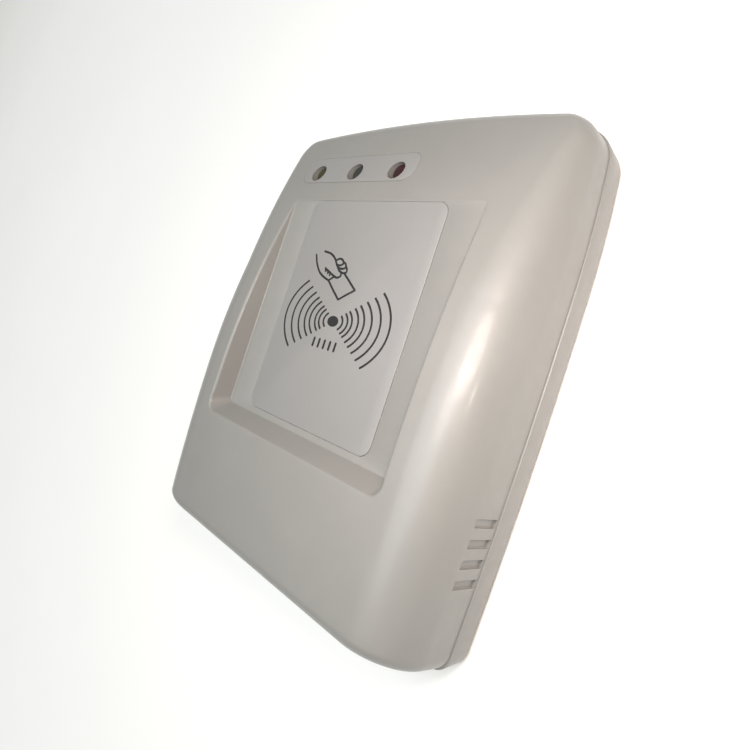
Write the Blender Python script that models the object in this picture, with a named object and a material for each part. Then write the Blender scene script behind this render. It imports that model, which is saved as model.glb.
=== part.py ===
"""Desktop contactless card reader, built as an assembly of separate pieces.

Units are metres, +Z is up, and the origin is on the table under the middle of the case.
The user sits at -Y, where the indicators are. The cable inlet is at +Y.
"""

import math

import bmesh
import bpy

MM = 0.001

# Case
CASE_WIDTH = 86.6 * MM
CASE_LENGTH = 107.2 * MM
HALF_WIDTH = CASE_WIDTH / 2
HALF_LENGTH = CASE_LENGTH / 2
WALL = 2.0 * MM
GAP = 0.3 * MM
FOOT_PROUD = 0.6 * MM
BASE_Z = FOOT_PROUD
SEAM_Z = BASE_Z + 6.6 * MM
SEAM_GAP = 0.35 * MM
COVER_Z = SEAM_Z + SEAM_GAP
FRONT_CORNER = 7.5 * MM
REAR_CORNER = 3.5 * MM
LEAST_CORNER = 0.3 * MM
EDGE_RADIUS = 3.2 * MM
SIDE_BOW = 1.2 * MM
FRONT_BOW = 3.3 * MM
FRONT_BOW_START = -20.0 * MM
FRONT_NARROWING = 1.4 * MM
TAPER = 1.2
LEDGE_SHARE = 0.006
FOOT_CHAMFER = 0.6 * MM
LIP_WALL = 1.0 * MM
LIP_HEIGHT = 1.6 * MM
LIP_INSET = WALL + GAP + (LEDGE_SHARE + TAPER * LIP_HEIGHT) * HALF_LENGTH

# Arched top
TOP_Z = BASE_Z + 24.6 * MM
ARCH_Y = 15.0 * MM
ARCH_FRONT_RADIUS = 205.0 * MM
ARCH_REAR_RADIUS = 680.0 * MM
SHOULDER_RADIUS = 10.4 * MM
SHOULDER_SHARE = 0.8

# Card tray
TRAY_Z = BASE_Z + 19.6 * MM
TRAY_HALF_WIDTH = 28.0 * MM
TRAY_REAR_Y = 23.2 * MM
TRAY_FRONT_Y = -40.0 * MM
TRAY_CUT_HEIGHT = 8.0 * MM
TRAY_SIDE_SLOPE = 0.16
TRAY_REAR_SLOPE = 0.62
TRAY_CORNER = 1.5 * MM
TRAY_RIM = 1.8 * MM
TUB_FRONT_Y = -31.0 * MM

# Face label in the tray
FACE_HALF_WIDTH = 20.0 * MM
FACE_FRONT_Y = -29.6 * MM
FACE_REAR_Y = 21.7 * MM
FACE_CORNER = 2.6 * MM
LABEL_THICKNESS = 0.6 * MM
PANEL_PROUD = 0.05 * MM

# Indicators
LED_Y = -37.7 * MM
LED_FIRST_X = 25.3 * MM
LED_PITCH = 13.05 * MM
LED_HOLE_RADIUS = 2.25 * MM
LED_RADIUS = 1.95 * MM
LED_DOME = 0.6 * MM
LED_FLANGE_RADIUS = 2.4 * MM
LED_FLANGE_HEIGHT = 1.0 * MM
LED_TIP_DEPTH = 1.7 * MM
LED_SPACER_RADIUS = 2.3 * MM
LED_SPACER_HEIGHT = 1.0 * MM
SLEEVE_RADIUS = 3.2 * MM
SLEEVE_LENGTH = 4.0 * MM
PANEL_X = (-6.6 * MM, 31.0 * MM)
PANEL_Y = (-42.6 * MM, -34.6 * MM)
PANEL_CORNER = 3.2 * MM

# Blind moulded slots in both sides
SLOT_FIRST_Y = 24.5 * MM
SLOT_PITCH = 3.72 * MM
SLOT_COUNT = 4
SLOT_WIDTH = 1.6 * MM
SLOT_DEPTH = 1.1 * MM
SLOT_TOP_Z = SEAM_Z + 7.4 * MM

# Circuit board
PCB_HALF_WIDTH = 31.5 * MM
PCB_HALF_LENGTH = 46.0 * MM
PCB_Z = BASE_Z + 5.4 * MM
PCB_THICKNESS = 1.6 * MM
PCB_TOP = PCB_Z + PCB_THICKNESS
PCB_CORNER = 2.0 * MM
PCB_HOLE_RADIUS = 1.5 * MM
POST_X = 27.0 * MM
POST_Y = 42.0 * MM
POST_RADIUS = 2.8 * MM
POST_BORE = 1.3 * MM
BOARD_SCREW_RADIUS = 1.0 * MM
BOARD_HEAD_RADIUS = 2.0 * MM
BOARD_HEAD_RIM = 0.8 * MM
BOARD_HEAD_HEIGHT = 1.3 * MM
BOARD_DRIVE_REACH = 1.0 * MM
BOARD_DRIVE_WIDTH = 0.45 * MM
BOARD_DRIVE_DEPTH = 0.6 * MM

# Antenna under the tray, and the header that it plugs into
COIL_HALF_WIDTH = 23.0 * MM
COIL_Y = (-28.0 * MM, 20.0 * MM)
COIL_CORNER = 6.0 * MM
COIL_BAND = 2.5 * MM
COIL_HEIGHT = 2.4 * MM
HEADER_X = (22.0 * MM, 28.0 * MM)
HEADER_Y = (-6.0 * MM, 0.0)
HEADER_HEIGHT = 6.0 * MM
HEADER_WALL = 1.0 * MM
HEADER_FLOOR = 2.0 * MM

# Packages on the board: x, y, width, length, height
MICROCONTROLLER = (-14.0 * MM, -2.0 * MM, 7.0 * MM, 7.0 * MM, 1.6 * MM)
READER_CHIP = (6.0 * MM, -4.0 * MM, 6.0 * MM, 10.4 * MM, 1.8 * MM)
REGULATOR = (18.0 * MM, 30.0 * MM, 6.5 * MM, 3.6 * MM, 1.7 * MM)
CRYSTAL = (-4.0 * MM, -14.0 * MM, 11.0 * MM, 4.6 * MM, 3.6 * MM)
PACKAGE_CORNER = 0.5 * MM
CAPACITOR_X = 13.0 * MM
CAPACITOR_Y = 41.0 * MM
CAPACITOR_RADIUS = 3.1 * MM
CAPACITOR_HEIGHT = 7.0 * MM
CAPACITOR_EDGE = 0.4 * MM
BUZZER_PLACE = (-20.0 * MM, 28.5 * MM)
BUZZER_RADIUS = 6.0 * MM
BUZZER_HEIGHT = 8.2 * MM
BUZZER_EDGE = 0.6 * MM
BUZZER_PORT_RADIUS = 1.2 * MM
BUZZER_PORT_DEPTH = 3.2 * MM

# Fasteners that join the covers
BOSS_X = 35.0 * MM
BOSS_Y = 41.0 * MM
BOSS_RADIUS = 3.0 * MM
BOSS_BORE = 1.45 * MM
BOSS_BORE_TOP = 12.0 * MM
BOSS_BOTTOM_Z = BASE_Z + WALL + GAP
BOSS_TOP_COVER = 1.0 * MM
CASE_SCREW_RADIUS = 1.15 * MM
CASE_SCREW_TIP = 9.0 * MM
CASE_HEAD_RADIUS = 2.3 * MM
CASE_HEAD_HEIGHT = 0.7 * MM
CASE_DRIVE_REACH = 1.3 * MM
CASE_DRIVE_WIDTH = 0.5 * MM
CASE_DRIVE_DEPTH = 0.5 * MM
COUNTERBORE_RADIUS = 2.7 * MM
COUNTERBORE_DEPTH = 1.1 * MM

# Cable inlet: a square-bodied USB socket
USB_HALF_WIDTH = 6.0 * MM
USB_HEIGHT = 10.8 * MM
USB_LENGTH = 16.0 * MM
USB_WALL = 0.5 * MM
USB_FACE_Y = 52.8 * MM
USB_CHAMFER = 2.0 * MM
USB_Z = PCB_TOP + GAP
USB_CUT_MARGIN = 0.5 * MM
USB_BACK = 3.0 * MM
TONGUE_HALF_WIDTH = 2.8 * MM
TONGUE_HALF_HEIGHT = 1.6 * MM
TONGUE_SETBACK = 1.2 * MM

# Rubber feet and rating plate
FOOT_X = 33.0 * MM
FOOT_Y = 30.0 * MM
FOOT_RADIUS = 4.5 * MM
FOOT_SEAT_DEPTH = 0.6 * MM
FOOT_EDGE = 0.4 * MM
FOOT_EDGE_HEIGHT = 0.3 * MM
PLATE_HALF_WIDTH = 18.0 * MM
PLATE_HALF_LENGTH = 9.0 * MM
PLATE_CORNER = 1.5 * MM
PLATE_SEAT_DEPTH = 0.7 * MM
PLATE_LIFT = 0.1 * MM
PLATE_THICKNESS = 0.3 * MM

ROUND_STEPS = 32


def clear_scene():
    for item in list(bpy.data.objects):
        bpy.data.objects.remove(item, do_unlink=True)


def material(name, colour, roughness, metallic=0.0):
    made = bpy.data.materials.new(name)
    made.use_nodes = True
    shader = made.node_tree.nodes["Principled BSDF"]
    shader.inputs["Base Color"].default_value = (*colour, 1.0)
    shader.inputs["Roughness"].default_value = roughness
    shader.inputs["Metallic"].default_value = metallic
    return made


def finish_object(name, mesh_data, finish, smooth_angle=35.0):
    """Turn a bmesh into a named object with outward faces and one material."""
    bmesh.ops.remove_doubles(mesh_data, verts=mesh_data.verts, dist=0.00001)
    bmesh.ops.recalc_face_normals(mesh_data, faces=mesh_data.faces)
    mesh = bpy.data.meshes.new(name)
    mesh_data.to_mesh(mesh)
    mesh_data.free()
    made = bpy.data.objects.new(name, mesh)
    bpy.context.scene.collection.objects.link(made)
    if finish is not None:
        mesh.materials.append(finish)
    mesh.shade_smooth()
    mesh.set_sharp_from_angle(angle=math.radians(smooth_angle))
    return made


def cutter(name, mesh_data):
    made = finish_object(name, mesh_data, None)
    made.hide_render = True
    made.display_type = "WIRE"
    return made


def combine(target, other, operation):
    """Leave an exact Boolean on the target, against a guide object."""
    step = target.modifiers.new(operation.lower() + "_" + other.name, "BOOLEAN")
    step.operation = operation
    step.object = other
    step.solver = "EXACT"


def loft(mesh_data, rings):
    """Skin closed rings of equal length, and cap both ends."""
    loops = [[mesh_data.verts.new(point) for point in ring] for ring in rings]
    count = len(loops[0])
    for lower, upper in zip(loops, loops[1:]):
        for i in range(count):
            j = (i + 1) % count
            mesh_data.faces.new((lower[i], lower[j], upper[j], upper[i]))
    mesh_data.faces.new(list(reversed(loops[0])))
    mesh_data.faces.new(loops[-1])


def rounded_outline(x_low, x_high, y_low, y_high, radius, steps=6):
    """Counter-clockwise rounded rectangle as (x, y) points."""
    centres = (
        (x_high - radius, y_low + radius, -90.0),
        (x_high - radius, y_high - radius, 0.0),
        (x_low + radius, y_high - radius, 90.0),
        (x_low + radius, y_low + radius, 180.0),
    )
    points = []
    for centre_x, centre_y, start in centres:
        for step in range(steps + 1):
            angle = math.radians(start + 90.0 * step / steps)
            points.append((centre_x + radius * math.cos(angle), centre_y + radius * math.sin(angle)))
    return points


def add_prism(mesh_data, outline, z_low, z_high):
    loft(mesh_data, [[(x, y, z) for x, y in outline] for z in (z_low, z_high)])


def add_box(mesh_data, x_low, x_high, y_low, y_high, z_low, z_high):
    outline = ((x_low, y_low), (x_high, y_low), (x_high, y_high), (x_low, y_high))
    add_prism(mesh_data, outline, z_low, z_high)


def add_turned(mesh_data, centre_x, centre_y, profile, steps=ROUND_STEPS):
    """Turn (radius, z) points, listed bottom to top, about a vertical axis."""
    rings = []
    for radius, z in profile:
        ring = []
        for step in range(steps):
            angle = 2.0 * math.pi * step / steps
            ring.append((centre_x + radius * math.cos(angle), centre_y + radius * math.sin(angle), z))
        rings.append(ring)
    loft(mesh_data, rings)


def corners(x, y):
    return [(x, -y), (x, y), (-x, y), (-x, -y)]


def arch_height(y):
    radius = ARCH_FRONT_RADIUS if y < ARCH_Y else ARCH_REAR_RADIUS
    return TOP_Z - (radius - math.sqrt(radius * radius - (y - ARCH_Y) ** 2))


def arc_drop(distance, radius):
    """How far a round edge has fallen at a distance into it."""
    inside = min(max(distance, 0.0), radius)
    return radius - math.sqrt(max(radius * radius - inside * inside, 0.0))


def shoulder_radius(y):
    return min(SHOULDER_RADIUS, SHOULDER_SHARE * (arch_height(y) - EDGE_RADIUS - SEAM_Z))


def inset_corner(radius, inset):
    return max(radius - inset, LEAST_CORNER)


def share_ahead(y):
    """How far a place is into the front of the case, from 0 where the front starts to 1 at its end."""
    return max(0.0, (FRONT_BOW_START - y) / (FRONT_BOW_START + HALF_LENGTH))


def plan_half_width(y, inset):
    bowed = HALF_WIDTH - inset - SIDE_BOW * (y / HALF_LENGTH) ** 2 - FRONT_NARROWING * share_ahead(y) ** 2
    radius = inset_corner(FRONT_CORNER if y < 0.0 else REAR_CORNER, inset)
    return bowed - arc_drop(abs(y) - (HALF_LENGTH - inset - radius), radius)


def corner_stations(radius, inset, steps=6):
    """Places from where a corner starts to turn out to the end of the case."""
    turn = inset_corner(radius, inset)
    straight = HALF_LENGTH - inset - turn
    return [straight + turn * math.sin(math.radians(90.0 * step / steps)) for step in range(steps + 1)]


def case_stations(inset):
    """Places along the case where its section is drawn, closer together at the round corners."""
    front = [-y for y in reversed(corner_stations(FRONT_CORNER, inset))]
    rear = corner_stations(REAR_CORNER, inset)
    steps = 15
    span = rear[0] - front[-1]
    middle = [front[-1] + span * step / steps for step in range(1, steps)]
    return front + middle + rear


def place_on_case(x, y, z, ledge=LEDGE_SHARE):
    """Give a plain point the bowed front, the ledge and the moulding draft, and keep it under the arch."""
    shrink = 1.0 - TAPER * max(z - SEAM_Z, 0.0) - ledge
    placed_y = (y + FRONT_BOW * (x / HALF_WIDTH) ** 2 * share_ahead(y) ** 2) * shrink
    rise = (arch_height(placed_y) - SEAM_Z) / (arch_height(y) - SEAM_Z)
    return (x * shrink, placed_y, SEAM_Z + (z - SEAM_Z) * rise)


def upper_section(y, inset, foot_z, shoulder_steps=8):
    """Half of the upper shell's section, from the foot of the wall to the middle of the top."""
    half = plan_half_width(y, inset)
    fillet = EDGE_RADIUS - inset
    fall = arc_drop(abs(y) - (HALF_LENGTH - inset - fillet), fillet)
    top = arch_height(y) - inset - fall
    radius = shoulder_radius(y) - inset
    points = [(half, foot_z)]
    for step in range(shoulder_steps + 1):
        angle = math.radians(90.0 * step / shoulder_steps)
        points.append((half - radius + radius * math.cos(angle), top - radius + radius * math.sin(angle)))
    points.extend(((half - radius) * share, top) for share in (0.67, 0.33))
    return points


def upper_form(inset, foot_z):
    """Closed solid of the upper shell's outside, or of its hollow when inset."""
    made = bmesh.new()
    rows = []
    for y in case_stations(inset):
        half = upper_section(y, inset, foot_z)
        full = half + [(0.0, half[-1][1])] + [(-x, z) for x, z in reversed(half)]
        rows.append([made.verts.new(place_on_case(x, y, z)) for x, z in full])
    count = len(rows[0])
    for here, there in zip(rows, rows[1:]):
        for i in range(count - 1):
            made.faces.new((here[i], here[i + 1], there[i + 1], there[i]))
    feet = []
    for row, y in ((rows[0], -HALF_LENGTH + inset), (rows[-1], HALF_LENGTH - inset)):
        section = upper_section(y, inset, foot_z)
        xs = [x for x, _ in section[2:]]
        line = xs + [0.0] + [-x for x in reversed(xs)]
        foot = [row[0]] + [made.verts.new(place_on_case(x, y, foot_z)) for x in line] + [row[-1]]
        for i in range(1, count - 2):
            made.faces.new((row[i], row[i + 1], foot[i], foot[i - 1]))
        feet.append(foot)
    right = [row[0] for row in rows[1:-1]]
    left = [row[-1] for row in rows[1:-1]]
    made.faces.new(feet[0] + left + list(reversed(feet[1])) + list(reversed(right)))
    return made


def arched_slab(x_low, x_high, y_low, y_high, radius, below, above):
    """A rounded rectangle that follows the arched top between two offsets from it."""
    made = bmesh.new()
    steps = 5
    inner = [y_low + radius + (y_high - y_low - 2 * radius) * step / 2 for step in range(3)]
    turns = [radius * math.sin(math.radians(90.0 * step / steps)) for step in range(1, steps + 1)]
    stations = [y_low + radius - turn for turn in reversed(turns)] + inner
    stations += [y_high - radius + turn for turn in turns]
    rings = []
    for y in stations:
        past = max(y_low + radius - y, y - (y_high - radius))
        pull = arc_drop(past, radius)
        low = arch_height(y) + below
        high = arch_height(y) + above
        left = x_low + pull
        right = x_high - pull
        rings.append([(left, y, low), (right, y, low), (right, y, high), (left, y, high)])
    loft(made, rings)
    return made


def tray_outline(height, grow):
    """Plan of the card tray at a height over its floor."""
    side = TRAY_HALF_WIDTH + TRAY_SIDE_SLOPE * height + grow
    rear = TRAY_REAR_Y + TRAY_REAR_SLOPE * height + grow
    return rounded_outline(-side, side, TRAY_FRONT_Y, rear, TRAY_CORNER + grow)


def tray_cut():
    made = bmesh.new()
    heights = (0.0, TRAY_CUT_HEIGHT)
    loft(made, [[(x, y, TRAY_Z + h) for x, y in tray_outline(h, 0.0)] for h in heights])
    return made


def tray_tub():
    """Solid block that joins the tray's walls and floor to the shell."""
    made = bmesh.new()
    depth = TOP_Z - TRAY_Z
    side = TRAY_HALF_WIDTH + TRAY_SIDE_SLOPE * depth + TRAY_RIM
    rear = TRAY_REAR_Y + TRAY_REAR_SLOPE * depth + TRAY_RIM
    steps = 12
    rings = []
    for step in range(steps + 1):
        y = TUB_FRONT_Y + (rear - TUB_FRONT_Y) * step / steps
        high = arch_height(y) - WALL / 2
        low = TRAY_Z - WALL
        rings.append([(-side, y, low), (side, y, low), (side, y, high), (-side, y, high)])
    loft(made, rings)
    return made


def led_places():
    return [(LED_FIRST_X - LED_PITCH * i, LED_Y) for i in range(3)]


def make_top_cover(plastic):
    cover = finish_object("top_cover", upper_form(0.0, COVER_Z), plastic)
    combine(cover, cutter("cover_hollow", upper_form(WALL, SEAM_Z - WALL)), "DIFFERENCE")
    combine(cover, cutter("tray_tub", tray_tub()), "UNION")
    bosses = bmesh.new()
    for x, y in corners(BOSS_X, BOSS_Y):
        add_turned(bosses, x, y, ((BOSS_RADIUS, BOSS_BOTTOM_Z), (BOSS_RADIUS, boss_top(x, y))))
    for x, y in led_places():
        ceiling = arch_height(y) - WALL / 2
        add_turned(bosses, x, y, ((SLEEVE_RADIUS, ceiling - SLEEVE_LENGTH), (SLEEVE_RADIUS, ceiling)))
    combine(cover, cutter("cover_bosses", bosses), "UNION")
    combine(cover, cutter("tray_cut", tray_cut()), "DIFFERENCE")
    combine(cover, cutter("face_label_seat", face_label_form(GAP, 2 * GAP, GAP)), "DIFFERENCE")
    panel_seat = arched_slab(PANEL_X[0], PANEL_X[1], PANEL_Y[0], PANEL_Y[1], PANEL_CORNER, -2 * GAP, WALL)
    combine(cover, cutter("led_label_seat", panel_seat), "DIFFERENCE")
    combine(cover, cutter("cover_holes", cover_holes()), "DIFFERENCE")
    combine(cover, cutter("cooling_slots", cooling_slots()), "DIFFERENCE")
    combine(cover, cutter("usb_opening", usb_opening()), "DIFFERENCE")
    return cover


def boss_top(x, y):
    """Height inside the shell's thickness, over a boss near the shoulder."""
    radius = shoulder_radius(y)
    outer = abs(x) + BOSS_RADIUS + TAPER * (TOP_Z - SEAM_Z) * HALF_WIDTH
    return arch_height(y) - arc_drop(outer - (plan_half_width(y, 0.0) - radius), radius) - BOSS_TOP_COVER


def cover_holes():
    made = bmesh.new()
    for x, y in corners(BOSS_X, BOSS_Y):
        add_turned(made, x, y, ((BOSS_BORE, BASE_Z), (BOSS_BORE, BOSS_BORE_TOP)))
    for x, y in led_places():
        low = arch_height(y) - WALL - SLEEVE_LENGTH
        add_turned(made, x, y, ((LED_HOLE_RADIUS, low), (LED_HOLE_RADIUS, low + 3 * SLEEVE_LENGTH)))
    return made


def cooling_slots():
    made = bmesh.new()
    for side in (-1.0, 1.0):
        for i in range(SLOT_COUNT):
            y = SLOT_FIRST_Y + SLOT_PITCH * i
            wall_x = place_on_case(plan_half_width(y, 0.0), y, (SEAM_Z + SLOT_TOP_Z) / 2)[0]
            xs = sorted((side * (wall_x - SLOT_DEPTH), side * (HALF_WIDTH + WALL)))
            add_box(made, xs[0], xs[1], y - SLOT_WIDTH / 2, y + SLOT_WIDTH / 2, SEAM_Z - WALL, SLOT_TOP_Z)
    return made


def usb_opening():
    made = bmesh.new()
    half = USB_HALF_WIDTH + USB_CUT_MARGIN
    add_box(made, -half, half, HALF_LENGTH - 4 * WALL, HALF_LENGTH + WALL, SEAM_Z - WALL,
            USB_Z + USB_HEIGHT + USB_CUT_MARGIN)
    return made


def lower_outline(inset):
    """Plan of the lower shell, with the case's bowed front."""
    stations = case_stations(inset)
    right = [(plan_half_width(y, inset), y) for y in stations]
    left = [(-x, y) for x, y in reversed(right)]
    steps = 8
    front_half = right[0][0]
    front = [(front_half * (2.0 * step / steps - 1.0), stations[0]) for step in range(1, steps)]
    points = []
    for x, y in right + left + front:
        placed = place_on_case(x, y, SEAM_Z, ledge=0.0)
        points.append((placed[0], placed[1]))
    return points


def make_bottom_cover(plastic):
    form = bmesh.new()
    levels = ((FOOT_CHAMFER, BASE_Z), (0.0, BASE_Z + FOOT_CHAMFER), (0.0, SEAM_Z))
    loft(form, [[(x, y, z) for x, y in lower_outline(inset)] for inset, z in levels])
    cover = finish_object("bottom_cover", form, plastic)
    lip = bmesh.new()
    add_prism(lip, lower_outline(LIP_INSET), BASE_Z + WALL / 2, SEAM_Z + LIP_HEIGHT)
    combine(cover, cutter("lip_form", lip), "UNION")
    hollow = bmesh.new()
    add_prism(hollow, lower_outline(LIP_INSET + LIP_WALL), BASE_Z + WALL, SEAM_Z + 2 * LIP_HEIGHT)
    combine(cover, cutter("tray_hollow", hollow), "DIFFERENCE")
    posts = bmesh.new()
    for x, y in corners(POST_X, POST_Y):
        add_turned(posts, x, y, ((POST_RADIUS, BASE_Z + WALL / 2), (POST_RADIUS, PCB_Z - GAP)))
    combine(cover, cutter("board_posts", posts), "UNION")
    combine(cover, cutter("base_holes", base_holes()), "DIFFERENCE")
    return cover


def base_holes():
    """Screw holes, seats for feet and plate, and the notch under the cable inlet."""
    made = bmesh.new()
    below = BASE_Z - WALL
    for x, y in corners(POST_X, POST_Y):
        add_turned(made, x, y, ((POST_BORE, BASE_Z + WALL), (POST_BORE, PCB_TOP)))
    for x, y in corners(BOSS_X, BOSS_Y):
        deep = BASE_Z + COUNTERBORE_DEPTH
        add_turned(made, x, y, ((COUNTERBORE_RADIUS, below), (COUNTERBORE_RADIUS, deep),
                                (BOSS_BORE, deep), (BOSS_BORE, BASE_Z + 2 * WALL)))
    for x, y in corners(FOOT_X, FOOT_Y):
        radius = FOOT_RADIUS + GAP
        add_turned(made, x, y, ((radius, below), (radius, BASE_Z + FOOT_SEAT_DEPTH)))
    seat = rounded_outline(-PLATE_HALF_WIDTH - GAP, PLATE_HALF_WIDTH + GAP, -PLATE_HALF_LENGTH - GAP,
                           PLATE_HALF_LENGTH + GAP, PLATE_CORNER + GAP)
    add_prism(made, seat, below, BASE_Z + PLATE_SEAT_DEPTH)
    half = USB_HALF_WIDTH + USB_CUT_MARGIN
    add_box(made, -half, half, HALF_LENGTH - 4 * WALL, HALF_LENGTH + WALL, PCB_Z - GAP, SEAM_Z + 2 * WALL)
    return made


def face_label_form(grow, depth, height):
    """The label's plan, from a depth under the tray floor to a height over it."""
    made = bmesh.new()
    outline = rounded_outline(-FACE_HALF_WIDTH - grow, FACE_HALF_WIDTH + grow, FACE_FRONT_Y - grow,
                              FACE_REAR_Y + grow, FACE_CORNER + grow)
    add_prism(made, outline, TRAY_Z - depth, TRAY_Z + height)
    return made


def make_labels(print_film):
    finish_object("face_label", face_label_form(0.0, GAP, LABEL_THICKNESS - GAP), print_film)
    panel = arched_slab(PANEL_X[0] + GAP, PANEL_X[1] - GAP, PANEL_Y[0] + GAP, PANEL_Y[1] - GAP,
                        PANEL_CORNER - GAP, -GAP, PANEL_PROUD)
    label = finish_object("led_label", panel, print_film)
    holes = bmesh.new()
    for x, y in led_places():
        low = arch_height(y) - WALL
        add_turned(holes, x, y, ((LED_HOLE_RADIUS, low), (LED_HOLE_RADIUS, low + 2 * WALL)))
    combine(label, cutter("led_label_holes", holes), "DIFFERENCE")


def make_leds(finishes):
    """Domed indicators on spacers that stand on the board."""
    dome_steps = 6
    for (x, y), (name, finish) in zip(led_places(), finishes):
        tip = arch_height(y) - LED_TIP_DEPTH
        flange = PCB_TOP + LED_SPACER_HEIGHT + 2 * GAP
        profile = [(LED_FLANGE_RADIUS, flange), (LED_FLANGE_RADIUS, flange + LED_FLANGE_HEIGHT),
                   (LED_RADIUS, flange + LED_FLANGE_HEIGHT)]
        for step in range(dome_steps):
            angle = math.radians(85.0 * step / (dome_steps - 1))
            profile.append((LED_RADIUS * math.cos(angle), tip - LED_DOME * (1.0 - math.sin(angle))))
        bulb = bmesh.new()
        add_turned(bulb, x, y, profile, steps=24)
        finish_object(name, bulb, finish)


def make_led_spacers(nylon):
    for i, (x, y) in enumerate(led_places()):
        spacer = bmesh.new()
        low = PCB_TOP + GAP
        profile = ((LED_SPACER_RADIUS, low), (LED_SPACER_RADIUS, low + LED_SPACER_HEIGHT))
        add_turned(spacer, x, y, profile, steps=20)
        finish_object("led_spacer_%d" % (i + 1), spacer, nylon)


def make_board(laminate):
    form = bmesh.new()
    outline = rounded_outline(-PCB_HALF_WIDTH, PCB_HALF_WIDTH, -PCB_HALF_LENGTH, PCB_HALF_LENGTH,
                              PCB_CORNER)
    add_prism(form, outline, PCB_Z, PCB_TOP)
    board = finish_object("main_pcb", form, laminate)
    holes = bmesh.new()
    for x, y in corners(POST_X, POST_Y):
        add_turned(holes, x, y, ((PCB_HOLE_RADIUS, PCB_Z - WALL), (PCB_HOLE_RADIUS, PCB_TOP + WALL)))
    combine(board, cutter("board_holes", holes), "DIFFERENCE")


def coil_form(inset, low, high):
    made = bmesh.new()
    half = COIL_HALF_WIDTH - inset
    outline = rounded_outline(-half, half, COIL_Y[0] + inset, COIL_Y[1] - inset, COIL_CORNER - inset)
    add_prism(made, outline, low, high)
    return made


def make_antenna(copper):
    """Wound coil under the tray floor."""
    high = TRAY_Z - WALL - GAP
    low = high - COIL_HEIGHT
    coil = finish_object("antenna_coil", coil_form(0.0, low, high), copper)
    window = cutter("coil_window", coil_form(COIL_BAND, low - WALL, high + WALL))
    combine(coil, window, "DIFFERENCE")


def header_form(inset, low, high):
    made = bmesh.new()
    add_box(made, HEADER_X[0] + inset, HEADER_X[1] - inset, HEADER_Y[0] + inset, HEADER_Y[1] - inset,
            low, high)
    return made


def make_antenna_header(nylon):
    high = PCB_TOP + HEADER_HEIGHT
    body = finish_object("antenna_header", header_form(0.0, PCB_TOP + GAP, high), nylon)
    mouth = header_form(HEADER_WALL, PCB_TOP + HEADER_FLOOR, high + WALL)
    combine(body, cutter("header_mouth", mouth), "DIFFERENCE")


def make_package(name, sizes, finish):
    """A flat package soldered on the top of the board."""
    x, y, width, length, height = sizes
    form = bmesh.new()
    outline = rounded_outline(x - width / 2, x + width / 2, y - length / 2, y + length / 2,
                              PACKAGE_CORNER, steps=2)
    add_prism(form, outline, PCB_TOP + GAP, PCB_TOP + GAP + height)
    finish_object(name, form, finish)


def make_capacitors(sleeve):
    low = PCB_TOP + GAP
    high = low + CAPACITOR_HEIGHT
    profile = ((CAPACITOR_RADIUS, low), (CAPACITOR_RADIUS, high - CAPACITOR_EDGE),
               (CAPACITOR_RADIUS - CAPACITOR_EDGE, high))
    for name, x in (("capacitor_1", -CAPACITOR_X), ("capacitor_2", CAPACITOR_X)):
        form = bmesh.new()
        add_turned(form, x, CAPACITOR_Y, profile, steps=24)
        finish_object(name, form, sleeve)


def make_buzzer(resin):
    low = PCB_TOP + GAP
    high = low + BUZZER_HEIGHT
    form = bmesh.new()
    add_turned(form, *BUZZER_PLACE, ((BUZZER_RADIUS, low), (BUZZER_RADIUS, high - BUZZER_EDGE),
                                     (BUZZER_RADIUS - BUZZER_EDGE, high)))
    body = finish_object("buzzer", form, resin)
    port = bmesh.new()
    add_turned(port, *BUZZER_PLACE, ((BUZZER_PORT_RADIUS, high - BUZZER_PORT_DEPTH),
                                     (BUZZER_PORT_RADIUS, high + WALL)), steps=16)
    combine(body, cutter("buzzer_port", port), "DIFFERENCE")


def usb_outline(shrink):
    """The socket's face: square, with two chamfered upper corners, as (x, z) points."""
    half = USB_HALF_WIDTH - shrink
    low = USB_Z + shrink
    high = USB_Z + USB_HEIGHT - shrink
    cut = USB_CHAMFER
    return [(-half, low), (half, low), (half, high - cut), (half - cut, high), (-half + cut, high),
            (-half, high - cut)]


def make_usb(steel, nylon):
    form = bmesh.new()
    rear = USB_FACE_Y
    front = USB_FACE_Y - USB_LENGTH
    loft(form, [[(x, y, z) for x, z in usb_outline(0.0)] for y in (rear, front)])
    shell = finish_object("usb_shell", form, steel)
    mouth = bmesh.new()
    deep = front + USB_BACK
    loft(mouth, [[(x, y, z) for x, z in usb_outline(USB_WALL)] for y in (rear + WALL, deep)])
    combine(shell, cutter("usb_mouth", mouth), "DIFFERENCE")
    tongue = bmesh.new()
    middle = USB_Z + USB_HEIGHT / 2
    add_box(tongue, -TONGUE_HALF_WIDTH, TONGUE_HALF_WIDTH, deep + GAP, rear - TONGUE_SETBACK,
            middle - TONGUE_HALF_HEIGHT, middle + TONGUE_HALF_HEIGHT)
    finish_object("usb_tongue", tongue, nylon)


def cross_cut(name, x, y, z_low, z_high, reach, width):
    """Cutter for a cross-shaped driver recess."""
    half = width / 2
    points = []
    for quarter in range(4):
        turn = math.radians(90.0 * quarter)
        cosine = math.cos(turn)
        sine = math.sin(turn)
        for arm_x, arm_y in ((reach, -half), (reach, half), (half, half)):
            points.append((x + arm_x * cosine - arm_y * sine, y + arm_x * sine + arm_y * cosine))
    made = bmesh.new()
    add_prism(made, points, z_low, z_high)
    return cutter(name, made)


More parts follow.
